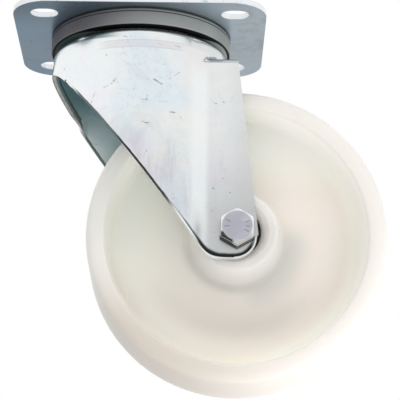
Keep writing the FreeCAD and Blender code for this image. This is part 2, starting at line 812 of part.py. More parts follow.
def axle_nut():
    washer = cut(
        "washer_solid",
        cylinder("washer_blank", axle_washer_radius, axle_washer_gauge),
        cylinder("washer_hole", (axle_bolt_diameter + bolt_hole_play) / 2, axle_washer_gauge))
    along_axle(washer, leg_outside)
    keep(washer, "axle_washer")
    height = axle_nut_height + nut_collar_height
    seat = leg_outside + axle_washer_gauge
    blank = fuse(
        "nut_blank", hex_blank("nut_hexagon", axle_flats, axle_nut_height, 0),
        cylinder("nut_collar", nut_collar_radius, height))
    room = fuse(
        "nut_room", cylinder("nut_bore", axle_bolt_diameter / 2, height),
        cylinder("insert_room", insert_radius, nut_collar_height, z=axle_nut_height))
    nut = cut("nut_solid", blank, room)
    along_axle(nut, seat)
    keep(nut, "axle_nut")
    insert = cut(
        "insert_solid", cylinder("insert_blank", insert_radius, nut_collar_height - washer_face),
        cylinder("insert_bore", axle_bolt_diameter / 2, nut_collar_height - washer_face))
    along_axle(insert, seat + axle_nut_height)
    keep(insert, "nut_insert")


def check(thing):
    """Stops the build where a feature failed or a solid is not sound."""
    shape = thing.Shape
    if shape.isNull() or not shape.isValid() or not shape.Solids:
        raise RuntimeError(f"{thing.Label}: the solid is not sound")


def build():
    top_plate()
    upper_race_ring()
    seal_ring()
    lower_race_cup()
    ball_set("upper_ball_set", upper_ball_diameter, upper_track_radius, upper_ball_height)
    ball_set("lower_ball_set", lower_ball_diameter, lower_track_radius, lower_ball_height)
    kingpin()
    fork()
    axle_bolt()
    axle_nut()
    axle_tube()
    wheel()
    roller_cage()
    rollers()
    doc.recompute()
    for thing in doc.Objects:
        if "Invalid" in thing.State or "Error" in thing.State:
            raise RuntimeError(f"{thing.Label}: {thing.State}")
    for thing in parts:
        check(thing)
    os.makedirs("parts", exist_ok=True)
    for thing in parts:
        thing.Shape.exportStep(os.path.join("parts", f"{thing.Label}.step"))
        print(f"{thing.Label}: {len(thing.Shape.Solids)} solids, {thing.Shape.Volume:.0f} cubic mm")


build()
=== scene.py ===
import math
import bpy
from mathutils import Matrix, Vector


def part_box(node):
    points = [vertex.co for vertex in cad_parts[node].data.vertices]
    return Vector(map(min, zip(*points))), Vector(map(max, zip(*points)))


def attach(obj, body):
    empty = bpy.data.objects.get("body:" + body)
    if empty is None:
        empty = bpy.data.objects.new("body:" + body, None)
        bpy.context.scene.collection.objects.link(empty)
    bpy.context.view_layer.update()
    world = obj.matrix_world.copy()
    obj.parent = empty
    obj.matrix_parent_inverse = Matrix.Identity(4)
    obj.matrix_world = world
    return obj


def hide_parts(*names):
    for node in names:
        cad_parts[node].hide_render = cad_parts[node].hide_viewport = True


bl_info = {
    "name": "Swivel castor",
    "version": (1, 0, 0),
    "blender": (4, 5, 0),
    "location": "View3D > Sidebar > Castor",
    "description": "Finishes a swivel castor: plated sheet, nylon wheel, seal, bolts and stage",
    "category": "Object",
}

import bmesh
import bpy
from bpy.props import FloatProperty, FloatVectorProperty, IntProperty, PointerProperty
from mathutils import Matrix, Vector

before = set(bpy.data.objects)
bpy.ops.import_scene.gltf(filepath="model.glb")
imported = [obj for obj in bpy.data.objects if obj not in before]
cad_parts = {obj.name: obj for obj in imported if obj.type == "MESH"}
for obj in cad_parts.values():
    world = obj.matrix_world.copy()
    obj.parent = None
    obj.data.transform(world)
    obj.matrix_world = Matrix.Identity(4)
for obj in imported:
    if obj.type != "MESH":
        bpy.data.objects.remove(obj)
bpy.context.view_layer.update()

MILLI = 0.001
IMAGE_SIZE = 400
SENSOR = 36.0

FORK_BODY = "fork"
WHEEL_BODY = "wheel"

# Edges sharper than this stay crisp where a surface is shaded smooth
CRISP_ANGLE = math.radians(35)


def middle(node):
    """The centre of a CAD node's box."""
    low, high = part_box(node)
    return (low + high) / 2


AXLE = middle("axle_tube")
WHEEL_LOW, WHEEL_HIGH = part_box("wheel")
WHEEL_RADIUS = (WHEEL_HIGH.z - WHEEL_LOW.z) / 2
HUB_HALF = (WHEEL_HIGH.y - WHEEL_LOW.y) / 2
HEAD_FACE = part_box("axle_bolt")[0].y
SEAL_LOW, SEAL_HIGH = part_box("seal_ring")
SEAL_RADIUS = (SEAL_HIGH.x - SEAL_LOW.x) / 2


# Sizes and colours that a user would change

def a_length(name, description, millimetres):
    """A length, given in millimetres."""
    return FloatProperty(name=name, description=description, default=millimetres * MILLI,
                         unit="LENGTH")


def a_spot(name, description, *millimetres):
    """A place, given in millimetres."""
    return FloatVectorProperty(name=name, description=description, subtype="XYZ", unit="LENGTH",
                               default=[value * MILLI for value in millimetres])


def a_colour(name, description, *shares):
    return FloatVectorProperty(name=name, description=description, subtype="COLOR",
                               default=shares)


def an_angle(name, description, radians):
    return FloatProperty(name=name, description=description, subtype="ANGLE", default=radians)


class WheelSettings(bpy.types.PropertyGroup):
    rim_half_width: a_length("Rim half width", "Half the width of the rim", 25)
    tread_round: a_length("Tread rounding", "Radius between the tread and the rim's face", 5)
    rim_edge: a_length("Rim's inner edge", "Radius of the dish where it meets the rim's face", 70.5)
    rim_edge_round: a_length("Rim edge rounding", "Rounding of the rim's inner edge", 1.2)
    rim_foot: a_length("Rim's foot", "Radius where the rim meets the web", 67.5)
    web_half_outside: a_length("Web at the rim", "Half the web's thickness at the rim", 8)
    web_round: a_length("Web rounding", "Rounding between the web and the rim", 4)
    hub_foot: a_length("Hub's foot", "Radius where the hub meets the web", 26)
    web_half_inside: a_length("Web at the hub", "Half the web's thickness at the hub", 10)
    hub_foot_round: a_length("Hub foot rounding", "Rounding between the hub and the web", 4.5)
    hub_edge: a_length("Hub's edge", "Radius of the hub's end face", 21.5)
    hub_edge_round: a_length("Hub edge rounding", "Rounding of the hub's edge", 2)
    mouth: a_length("Hub's mouth", "Radius of the mouth in the hub's end face", 17)
    mouth_round: a_length("Mouth rounding", "Rounding of the mouth's edge", 0.8)
    mouth_depth: a_length("Mouth depth", "How deep the mouth slopes in to the bore", 2.4)
    bore: a_length("Bore", "Radius of the bore that the rollers run in", 13)
    bore_round: a_length("Bore rounding", "Rounding where the mouth meets the bore", 0.4)
    nylon: a_colour("Nylon", "Ivory white of the moulded nylon", 0.87, 0.85, 0.80)
    steps: IntProperty(name="Steps", description="Facets round the wheel", default=240, min=32)


class ForkSettings(bpy.types.PropertyGroup):
    arch_rear: a_spot(
        "Arch at the back", "Where the slanting cut meets the back of the fork", -48.3, 0, -26.5)
    arch_foot: a_spot(
        "Arch at the foot", "Where the slanting cut meets the foot of the legs", 38, 0, -137)
    front_top: a_spot(
        "Front at the top", "Where the legs' front edge leaves the hood", 52.4, 0, -25)
    front_foot: a_spot(
        "Front at the foot", "Where the legs' front edge would meet the foot", 64.8, 0, -137)
    foot_corner: a_spot(
        "Foot corner", "Middle of the rounding at the foot's front corner", 51.4, 0, -125)
    foot_round: a_length("Foot rounding", "Radius of the foot's front corner", 12)
    sheet: a_length("Sheet", "Thickness of the pressed sheet", 3)
    flare: a_length("Flare", "How far the lip behind the wheel turns outwards", 0.7)
    far_flare: a_length("Far leg's flare", "How far the far leg's slanting edge is let out", 0.9)
    front_let: a_length("Front edge let out", "How far the legs' front edge is let forwards", 0.9)
    shoulder: a_length("Shoulder", "Radius of the crown's shoulder in the CAD model", 7)
    tight_shoulder: a_length(
        "Tight shoulder", "Radius that the crown's shoulder is drawn to", 4)
    lip: a_length("Lip", "How far the inner edge of that lip is rolled up", 3.6)
    lip_half_width: a_length("Lip half width", "Half the width of the flared lip", 30)
    band_foot: a_length(
        "Dark band at the foot", "Width of the dark sheared band at the foot", 3.2)
    band_top: a_length(
        "Dark band higher up", "Width of the dark sheared band up the cut", 1.25)
    corner_blend: a_length("Corner blend", "How widely the band rounds the foot's corner", 9)
    edge_round: a_length("Edge rounding", "Radius of the rolled-over sheared edges", 1.1)


class MetalSettings(bpy.types.PropertyGroup):
    zinc: a_colour("Fork zinc", "Bright bluish zinc of the pressed fork", 0.82, 0.845, 0.85)
    # The plate's tone is dark as painted shade on its underside; plate_shade makes the top face
    # paler
    plate_zinc: a_colour("Plate zinc", "Bluer zinc of the top plate", 0.33, 0.455, 0.575)
    bolt_zinc: a_colour("Bolt zinc", "Lilac-grey zinc of the bolts", 0.55, 0.545, 0.62)
    bright_edge: a_colour("Bright edge", "Pale zinc on the plate's sheared edges", 0.88, 0.90, 0.92)
    bearing: a_colour("Bearing steel", "Ground steel of balls, rollers and tube", 0.55, 0.55, 0.56)


class PlasticSettings(bpy.types.PropertyGroup):
    seal: a_colour("Seal grey", "Grey of the moulded seal ring", 0.166, 0.160, 0.176)
    cage: a_colour("Cage black", "Black of the roller cage", 0.012, 0.012, 0.012)
    insert: a_colour("Locking ring", "Pale nylon of the nut's locking ring", 0.55, 0.60, 0.66)


class StageSettings(bpy.types.PropertyGroup):
    focal_pixels: FloatProperty(
        name="Focal length", description="Focal length in pixels of the 400-pixel frame",
        default=1883.2, subtype="PIXEL")
    camera_place: a_spot("Camera", "Where the camera stands", 28.3, -982.2, -395.0)
    pitch: an_angle("Pitch", "How far the camera looks up", 0.2960)
    yaw: an_angle("Yaw", "Turn of the camera about the vertical", -0.0054)
    roll: an_angle("Roll", "Tilt of the camera's horizon", 0.0089)
    floor_drop: a_length("Floor drop", "How far the floor lies under the wheel", 800)
    floor_reach: a_length("Floor reach", "Half the length of the floor's sides", 6000)
    floor_tone: a_colour("Floor", "Pale grey of the floor", 0.62, 0.62, 0.62)
    sky_light: FloatProperty(
        name="Sky light", description="Share of the white background that lights the object",
        default=0.69, subtype="FACTOR", min=0, max=1)


# Shader maths

class Flow:
    """A node socket that takes part in Python arithmetic, each sign adding a Math node."""

    def __init__(self, material, socket):
        self.material = material
        self.socket = socket

    def math(self, operation, *others, **settings):
        return node(self.material, "ShaderNodeMath", dict(operation=operation, **settings),
                    [self, *others])

    def __add__(self, other):
        return self.math("ADD", other)

    __radd__ = __add__

    def __sub__(self, other):
        return self.math("SUBTRACT", other)

    def __rsub__(self, other):
        return node(self.material, "ShaderNodeMath", {"operation": "SUBTRACT"}, [other, self])

    def __mul__(self, other):
        return self.math("MULTIPLY", other)

    __rmul__ = __mul__

    def __truediv__(self, other):
        return self.math("DIVIDE", other)

    def __abs__(self):
        return self.math("ABSOLUTE")

    def clamp(self):
        return self.math("ADD", 0.0, use_clamp=True)

    def between(self, low, high):
        """0 below low, 1 above high, and smooth in between."""
        return node(self.material, "ShaderNodeMapRange", {"interpolation_type": "SMOOTHSTEP"},
                    {"Value": self, "From Min": low, "From Max": high})

    def rise(self, low, high):
        """0 below low, 1 above high, and smooth in between, both given in millimetres."""
        return self.between(low * MILLI, high * MILLI)

    def fall(self, low, high):
        """1 below low, 0 above high, and smooth in between, both given in millimetres."""
        return 1 - self.rise(low, high)


def node(material, kind, settings=None, inputs=None, output=0):
    """Adds one node: its settings first, then its sockets' values or links. Returns its output."""
    made = material.node_tree.nodes.new(kind)
    for name, value in (settings or {}).items():
        setattr(made, name, value)
    pairs = inputs.items() if isinstance(inputs, dict) else enumerate(inputs or [])
    for key, value in pairs:
        socket = made.inputs[key]
        if isinstance(value, Flow):
            material.node_tree.links.new(value.socket, socket)
        elif value is not None:
            socket.default_value = value
    return Flow(material, made.outputs[output])


def new_material(name, **constants):
    """A material whose Principled shader has its constant sockets set, ready for what varies."""
    material = bpy.data.materials.new(name)
    material.use_nodes = True
    shader = material.node_tree.nodes["Principled BSDF"]
    for key, value in constants.items():
        socket = shader.inputs[key.replace("_", " ")]
        socket.default_value = (*value, 1) if key.endswith("Color") else value
    return material


def feed(material, **varying):
    """Links what varies over a surface to its shader."""
    shader = material.node_tree.nodes["Principled BSDF"]
    for key, flow in varying.items():
        material.node_tree.links.new(flow.socket, shader.inputs[key.replace("_", " ")])


def place_of(material):
    return node(material, "ShaderNodeTexCoord", output="Object")


def split(where):
    """The three numbers of a place."""
    return [node(where.material, "ShaderNodeSeparateXYZ", {}, {"Vector": where}, output=axis)
            for axis in range(3)]


def span(first, second):
    """The length of two numbers at right angles to each other."""
    return (first * first + second * second).math("SQRT")


def most(masks):
    """The largest of several masks."""
    first, *others = masks
    for mask in others:
        first = first.math("MAXIMUM", mask)
    return first


def vector_math(operation, first, second, output="Vector"):
    return node(first.material, "ShaderNodeVectorMath", {"operation": operation},
                [first, second], output)


def noise(where, scale, detail, roughness, distortion=0.0, stretch=None):
    """Soft clouds between 0 and 1."""
    if stretch is not None:
        where = node(where.material, "ShaderNodeMapping", {}, {"Vector": where, "Scale": stretch})
    return node(where.material, "ShaderNodeTexNoise", {"noise_dimensions": "3D"},
                {"Vector": where, "Scale": scale, "Detail": detail, "Roughness": roughness,
                 "Distortion": distortion})


def dots(where, scale, inner, outer):
    """A mask of small round dots, scattered over the surface."""
    gap = node(where.material, "ShaderNodeTexVoronoi", {"feature": "F1"},
               {"Vector": where, "Scale": scale, "Randomness": 1.0}, output="Distance")
    return 1 - gap.between(inner, outer)


def mix_colour(factor, first, second):
    """Mixes two colours, each a link or a plain colour."""
    first, second = [value if isinstance(value, Flow) else (*value, 1) for value in (first, second)]
    return node(factor.material, "ShaderNodeMix", {"data_type": "RGBA"},
                {0: factor, 6: first, 7: second}, output=2)


class Coat:
    """A colour that is laid on in coats, each with a mask for where and how thickly it lies."""

    def __init__(self, colour):
        self.colour = colour

    def add(self, mask, colour):
        self.colour = mix_colour(mask, self.colour, colour)


def bump(height, strength, distance, normal=None):
    return node(height.material, "ShaderNodeBump", {},
                {"Strength": strength, "Distance": distance, "Height": height, "Normal": normal})


def scratch(where, start, finish, width):
    """A mask, 1 on the line between two points given in millimetres, and 0 beyond its width."""
    start = Vector(start) * MILLI
    run = Vector(finish) * MILLI - start
    offset = vector_math("SUBTRACT", where, start)
    share = vector_math("DOT_PRODUCT", offset, run / run.length_squared, "Value").clamp()
    nearest = node(where.material, "ShaderNodeVectorMath", {"operation": "SCALE"},
                   {0: run, "Scale": share})
    return vector_math("DISTANCE", offset, nearest, "Value").fall(0.15 * width, width)


def spot_mask(where, spot, inner, outer):
    """A mask, 1 within inner and 0 beyond outer of a point, all given in millimetres."""
    gap = vector_math("DISTANCE", where, Vector(spot) * MILLI, "Value")
    return gap.fall(inner, outer)


# Materials

# Places are counted from the middle of the plate's top face: x towards the wheel, y towards the
# axle's nut and z up.

def zinc_material(name, tone, contrast, scratches, roughness, metallic, shade):
    """Bright zinc plate: clouds of faint blue, violet and straw, small scratches and dark specks.

    shade takes the place and the coats so far, adds its own, and returns what it adds to the
    roughness and the share of the metallic sheen that it takes away."""
    material = new_material(name, Metallic=metallic, Specular_IOR_Level=0.0)
    where = place_of(material)
    base = Vector(tone)
    blue = base * 0.97 + Vector((-0.045, 0.0, 0.03)) * contrast
    violet = base * 0.95 + Vector((0.03, -0.04, 0.05)) * contrast
    straw = base * 1.02 + Vector((0.05, 0.02, -0.06)) * contrast
    cloud = noise(where, 26, 4, 0.6, 0.6)
    drift = noise(where, 19, 3, 0.55, 0.9, (1.0, 1.3, 0.8))
    tide = noise(where, 15, 3, 0.5, 0.4, (0.8, 1.0, 1.6))
    worn = noise(where, 48, 4, 0.65, 1.2)
    fine = noise(where, 160, 3, 0.6)
    coat = Coat(base)
    coat.add(cloud.between(0.40, 0.60), blue)
    coat.add(drift.between(0.50, 0.66) * 0.9, violet)
    coat.add(tide.between(0.52, 0.68) * 0.8, straw)
    coat.add(worn.between(0.52, 0.72) * 0.35, base * 0.80)
    coat.add(fine.between(0.35, 0.70) * 0.12, base * 0.72)
    matt, dull = shade(where, coat)
    sparse = noise(where, 37, 2, 0.5).between(0.56, 0.62)
    specks = dots(where, 85, 0.05, 0.13) * sparse
    rub = noise(where, 60, 2, 0.5, 0.0, (0.35, 1.0, 2.6))
    streak = noise(where, 300, 2, 0.5, 0.0, (0.10, 0.6, 1.0))
    marks = specks + streak.between(0.66, 0.72) * rub.between(0.60, 0.68) * scratches
    marks = marks.clamp()
    coat.add(marks * 0.75, base * 0.25)
    height = fine * 0.5 + noise(where, 420, 2, 0.6) * 0.5 - marks * 0.6
    feed(material, Base_Color=coat.colour, Metallic=metallic * (1 - dull),
         Roughness=cloud * 0.08 + marks * 0.2 + roughness + matt,
         Normal=bump(height, 0.14, 0.10 * MILLI))
    return material


# Dark scratches on the fork's near side: start, finish and width, in millimetres
SCRATCHES = [
    ((-18.0, -44.8, -47.3), (-14.8, -46.0, -46.0), 0.45),
    ((-14.8, -46.0, -46.0), (-11.7, -46.9, -43.2), 0.75),
    ((-25.5, -41.0, -57.0), (-22.9, -42.5, -49.1), 0.35),
    ((8.4, -47.6, -43.3), (12.5, -46.6, -45.7), 0.75),
    ((16.4, -45.4, -42.4), (22.1, -42.9, -37.4), 0.30),
    ((22.7, -42.6, -62.8), (22.9, -42.5, -63.4), 0.70),
    ((40.2, -33.0, -50.8), (41.6, -33.0, -51.4), 0.75),
    ((2.5, -48.2, -67.1), (4.6, -48.1, -68.1), 0.45),
    ((4.6, -48.1, -68.1), (7.2, -47.7, -67.5), 0.45),
    ((-11.2, -46.0, -17.0), (-11.1, -46.7, -18.7), 0.45),
    ((-7.9, -47.5, -19.0), (-4.7, -48.0, -20.3), 0.40),
    ((34.4, -34.2, -34.5), (35.0, -33.9, -39.5), 0.30),
    ((4.9, -48.0, -52.5), (4.5, -48.1, -57.0), 0.28),
    ((34.1, -34.4, -57.4), (34.6, -34.0, -61.2), 0.35),
    ((39.9, -33.0, -98.5), (40.5, -33.0, -99.2), 0.60),
    ((40.9, -33.0, -122.1), (41.1, -33.0, -122.9), 0.70),
    ((10.3, -47.2, -23.0), (12.6, -46.7, -23.4), 0.35),
    ((19.2, -44.3, -23.0), (21.8, -43.1, -23.2), 0.35),
]

# Dark burrs on the sheared edge: place and radius, in millimetres
BURRS = [
    ((13.9, -45.9, -106.6), 1.5),
    ((1.0, -47.5, -90.2), 1.2),
    ((2.3, -47.3, -91.8), 1.1),
    ((-0.4, -47.5, -88.9), 1.0),
    ((-2.2, -47.5, -86.9), 0.9),
    ((3.6, -47.2, -93.6), 0.9),
    ((-39.5, -27.9, -37.8), 1.3),
]

# Painted highlights at the kink of the far leg's edge: start, finish and width, in millimetres
GLINTS = [
    ((-33.8, 30.2, -40.0), (-32.7, 31.3, -42.2), 0.8),
    ((-32.6, 31.4, -42.4), (-32.1, 31.9, -43.0), 1.1),
]


def inwards_of(start, finish):
    """The direction to the left of a line in the XZ plane, seen from the front."""
    run = finish - start
    return Vector((-run.z, 0, run.x)).normalized()


def rear_height(settings, x, z):
    """How far a place lies above the slanting cut."""
    rear = Vector(settings.arch_rear)
    normal = inwards_of(rear, Vector(settings.arch_foot))
    return (x - rear.x) * normal.x + (z - rear.z) * normal.z


def fork_shade(settings):
    """The fork's marks and its painted light and shade, as a function that zinc_material calls."""
    def shade(where, coat):
        x, y, z = split(where)
        wear_and_painted_light(where, coat, x, z)
        shoulder_painted_light(where, coat, x, y, z)
        inside, lip = inside_and_lip(where, coat, settings, x, y, z)
        tier = head_shadow(x, y, z)
        # Painted shadow and reflection of the bolt's head on the leg
        coat.add(tier, (0.03, 0.03, 0.028))
        broken = noise(where, 520, 2, 0.6).between(0.36, 0.60)
        lines = most(scratch(where, *line) for line in SCRATCHES)
        coat.add(lines * broken * 0.66, (0.09, 0.095, 0.105))
        for spot, size in BURRS:
            coat.add(spot_mask(where, spot, 0.5 * size, size) * 0.9, (0.05, 0.048, 0.04))
        # Painted highlights at the kink of the far leg's edge
        for line in GLINTS:
            coat.add(scratch(where, *line), (0.95, 0.97, 0.97))
        # Dark band, partly the sheared edge's own dark and partly painted contact shadow, and its
        # thin rim a painted highlight
        dark, thin = sheared_band(where, settings, x, z)
        dark = dark * x.rise(-37, -31)
        coat.add(dark * 0.98, edge_dark_and_shadow(y, z))
        coat.add(thin * 0.8, (0.90, 0.92, 0.92))
        bend = x.rise(24, 30) * z.fall(-114, -104)
        return inside * 0.12 + bend * 0.18, most([inside * 0.30, lip, dark, tier])

    return shade


def wear_and_painted_light(where, coat, x, z):
    """The outer face: painted shade on the cheeks and the lower legs, a painted highlight on the
    upper rear wall, a warmer tint on the cheeks, a darker tone towards the front edge, and drawing
    marks, pits, dots and blotches.
    """
    # Painted shade on the cheeks, darker towards the foot
    cheek = x.rise(22, 44) * z.fall(-135, -45)
    coat.add(cheek * 0.52, (0.43, 0.415, 0.385))
    # Painted shade, darker towards the feet of the legs
    low = z.fall(-110, -60)
    coat.add(low * 0.20, (0.42, 0.43, 0.47))
    pits = noise(where, 330, 4, 0.75).between(0.52, 0.66)
    patches = noise(where, 30, 2, 0.5, 0.4).between(0.42, 0.58)
    coat.add(pits * patches * 0.32, (0.50, 0.47, 0.50))
    warm = x.rise(20, 30) * z.rise(-110, -70)
    coat.add(warm * 0.45, (0.80, 0.77, 0.75))
    coat.add(x.rise(44, 60) * 0.22, (0.42, 0.40, 0.37))
    drawn = noise(where, 260, 3, 0.7, 0.2, (1.0, 1.0, 0.10)).between(0.50, 0.72)
    coat.add(drawn * low * (1 - cheek) * 0.35, (0.42, 0.41, 0.47))
    # Painted highlight on the upper rear wall
    coat.add(x.fall(-34, 6) * (1 - low) * 0.62, (0.95, 0.975, 0.975))
    few = noise(where, 90, 2, 0.5).between(0.54, 0.64)
    coat.add(dots(where, 230, 0.05, 0.16) * few * 0.55, (0.22, 0.23, 0.24))
    murk = z.fall(-80, -55) * x.fall(14, 28)
    blotch = noise(where, 24, 4, 0.6, 0.6).between(0.42, 0.62)
    coat.add(murk * (0.08 + blotch * 0.34), (0.42, 0.41, 0.47))


def shoulder_painted_light(where, coat, x, y, z):
    """Painted light round the crown: the shoulder's painted reflection, dark greenish on the left
    and paler on the right, a painted glint on it, a painted highlight on the crease by the shelf,
    and the painted shade of the pressed band and its edge line.
    """
    # Painted reflection on the shoulder, dark greenish on the left
    shoulder = (z + x * 0.06).rise(-20.6, -19.4)
    coat.add(shoulder * x.fall(-22, -6) * 0.88, (0.14, 0.20, 0.205))
    # Painted highlight on the crease by the shelf
    crease = x.rise(25, 31) * x.fall(35, 39) * z.fall(-38, -27)
    coat.add(crease * 0.60, (0.90, 0.93, 0.93))
    # Painted reflection on the shoulder, paler on the right
    coat.add(shoulder * x.rise(14, 30) * 0.22, (0.50, 0.60, 0.56))
    # Painted glint on the shoulder
    coat.add(spot_mask(where, (-30.5, -35.5, -16.2), 0.8, 4.2), (0.97, 0.98, 0.97))
    # Painted shade of the pressed band, with a darker painted line at its edge
    drop = abs(z + 23.2 * MILLI)
    reach = abs(x - 2 * MILLI).fall(18, 25) * y.fall(-20, -10)
    coat.add(drop.fall(1.6, 2.1) * reach * 0.34, (0.62, 0.58, 0.63))
    coat.add(abs(drop - 2 * MILLI).fall(0.1, 0.45) * reach * 0.30, (0.42, 0.40, 0.46))


def inside_and_lip(where, coat, settings, x, y, z):
    """Painted shade inside the hood, dark greenish high up and painted lighter low down, the lip
    behind the wheel painted dark in the same shade, and a painted highlight along its ridge.
    Returns both masks.
    """
    radius = span(x, y)
    flat_inside = abs(y).fall(31.2, 31.8) * x.rise(33, 36) * z.fall(-30, -28)
    inside = most([radius.fall(46.2, 47.0), flat_inside])
    deep = z.rise(-46, -28)
    # Painted shade inside the hood, dark high up and light low down
    coat.add(inside * 0.95, mix_colour(deep, (0.88, 1.0, 1.0), (0.44, 0.62, 0.65)))
    height = rear_height(settings, x, z)
    rear = x.fall(-30, -20) * abs(y).fall(30, 31.5) * y.rise(-26, -20) * most(
        [radius.fall(47.7, 48.1), y.rise(-12, -8)])
    lip = rear * height.fall(3.0, 4.2)
    # Painted shade on the lip behind the wheel
    coat.add(lip * 0.85, (0.07, 0.095, 0.095))
    rough_lip = noise(where, 430, 3, 0.7).between(0.36, 0.60)
    # Painted highlight along the lip's ridge
    ridge = rear * abs(height - 0.4 * MILLI).fall(0.3, 1.0)
    coat.add(ridge * (0.55 + rough_lip * 0.35), (0.56, 0.57, 0.54))
    return inside, lip


def head_shadow(x, y, z):
    """A mask of the painted shadow and painted reflection of the bolt's head on the leg under it.
    """
    aside = abs(x - AXLE.x)
    drop = abs(z - AXLE.z + 0.9 * MILLI)
    reach = most([aside, aside * 0.5 + drop * 0.866])
    under = y.fall(-32.8, -32.0) * (z - AXLE.z).fall(-4.5, -3.5)
    right = (x - AXLE.x).rise(-1.0, 1.0)
    shadow = under * reach.fall(8.8, 9.6) * (1 - right * 0.35)
    rim = under * abs(reach - 8.6 * MILLI).fall(0.2, 0.7) * right
    return most([shadow * 0.88, rim * 0.85])


def edge_dark_and_shadow(y, z):
    """The colour of the dark band along the sheared edge, partly the edge's own dark and partly
    painted contact shadow: black at the foot, greyer up the cut and on the far leg.
    """
    coat = Coat((0.012, 0.013, 0.013))
    coat.add(z.rise(-130, -124), (0.09, 0.10, 0.10))
    coat.add(z.rise(-112, -100), (0.035, 0.036, 0.034))
    coat.add(z.rise(-80, -70), (0.17, 0.22, 0.225))
    coat.add(y.rise(0, 20), (0.24, 0.27, 0.27))
    return coat.colour


def sheared_band(where, settings, x, z):
    """Two masks along the slanting cut and the legs' feet: the dark band, partly the sheared edge's
    own dark and partly painted contact shadow, and the thin painted highlight on its rim.
    """
    front = Vector(settings.front_foot)
    front_normal = inwards_of(front, Vector(settings.front_top))
    to_foot = z - settings.arch_foot[2]
    to_front = (x - front.x) * front_normal.x + (z - front.z) * front_normal.z
    near = rear_height(settings, x, z)
    for other in (to_foot, to_front + z.rise(-127, -117) * 20 * MILLI):
        near = near.math("SMOOTH_MIN", other, settings.corner_blend)
    ahead = x - settings.foot_corner[0]
    up = z - settings.foot_corner[2]
    corner = ahead.rise(0, 0.4) * up.fall(-0.4, 0)
    near = near * (1 - corner) + (settings.foot_round - span(ahead, up)) * corner
    ragged = (noise(where, 240, 2, 0.6) - 0.5) * 0.6 * MILLI
    width = settings.band_foot - (settings.band_foot - settings.band_top) * to_foot.rise(6, 28)
    width = width - z.rise(-114, -98) * settings.band_top * 0.30
    width = width - z.rise(-86, -70) * settings.band_top * 0.30
    dark = 1 - ((near + ragged) / width).between(0.55, 1.0)
    dark = dark * (1 - x.rise(60, 63.5) * 0.9)
    wide = z.rise(-131, -127) * (1 - corner) * 0.6 * MILLI + corner * 0.35 * MILLI
    thin = (near - wide).fall(0.15, 0.5) * z.fall(-118, -108)
    return dark * (1 - thin), thin


def plate_shade(bright_edge):
    """The plate's marks and painted light, as a function that zinc_material calls: a paler top
    face, with the underside's darker tone as painted shade, the underside painted lighter towards
    the right and painted darker in a strip in front and on the left, rust patches and bright
    sheared edges."""
    def shade(where, coat):
        x, y, z = split(where)
        # Painted shade: the underside keeps the plate's darker tone, and the top face is made paler
        top = z.rise(-2.7, -2.4)
        under = 1 - top
        coat.add(top * 0.65, (0.68, 0.74, 0.79))
        # Painted light on the underside, lighter towards the right
        left = x.fall(-70, 60)
        coat.add(under * (1 - left) * 0.75, (0.78, 0.88, 0.95))
        # Painted shade on the underside in a strip in front, darker on the left
        strip = y.fall(-52, -14)
        coat.add(under * strip * (0.08 + left * 0.42), (0.10, 0.13, 0.14))
        rust = noise(where, 75, 4, 0.7, 0.5).between(0.46, 0.66)
        coat.add(under * x.rise(42, 62) * y.fall(5, 35) * rust * 0.36, (0.42, 0.36, 0.36))
        edge = z.rise(-2.85, -2.7) * z.fall(-0.2, -0.1)
        ragged = noise(where, 210, 3, 0.7).between(0.28, 0.42)
        coat.add(edge * ragged * 0.9, bright_edge)
        return 0.0, edge * 0.3

    return shade


def steel_material(name, tone, roughness, shade=None, thread=None):
    """Smooth plated steel with turning marks and a faint tarnish.

    shade, if given, takes the place and the coats so far, adds its own, and returns the share of
    the metallic sheen that it takes away. thread, if given, is for thread_bump."""
    metallic = 0.9
    material = new_material(name, Metallic=metallic, Specular_IOR_Level=0.0)
    where = place_of(material)
    cloud = noise(where, 90, 4, 0.6)
    fine = noise(where, 700, 2, 0.5)
    base = Vector(tone)
    coat = Coat(base)
    coat.add(cloud.between(0.38, 0.65), base * 0.82)
    if shade is not None:
        feed(material, Metallic=metallic * (1 - shade(where, coat)))
    normal = bump(fine, 0.12, 0.05 * MILLI)
    if thread is not None:
        normal = thread_bump(where, normal, **thread)
    feed(material, Base_Color=coat.colour, Roughness=roughness + cloud * 0.12, Normal=normal)
    return material


def thread_bump(where, normal, axis, pitch, reach, place, start, finish):
    """Grooves round a screw's shank, one a pitch, between two places along its axis."""
    spot = split(where)
    along = spot[axis]
    first, second = [spot[other] - place[other] for other in range(3) if other != axis]
    shank = (span(first, second) - reach).fall(0, 0.1) * (along - start).rise(0, 0.2) * (
        along - finish).fall(-0.4, 0)
    wave = (along * (2 * math.pi / pitch)).math("SINE")
    return bump(wave * shank, 0.6, 0.25 * pitch, normal)


def plastic_material(name, tone, roughness, grain_scale, shade=None):
    """Moulded plastic with a fine grain and slightly uneven gloss."""
    material = new_material(name, Specular_IOR_Level=0.12)
    where = place_of(material)
    fine = noise(where, grain_scale, 3, 0.6)
    cloud = noise(where, 40, 3, 0.5)
    base = Vector(tone)
    coat = Coat(base)
    coat.add(cloud.between(0.35, 0.65), base * 0.90)
    if shade is not None:
        shade(where, coat)
    feed(material, Base_Color=coat.colour, Roughness=roughness + fine * 0.15,
         Normal=bump(fine, 0.15, 0.08 * MILLI))
    return material


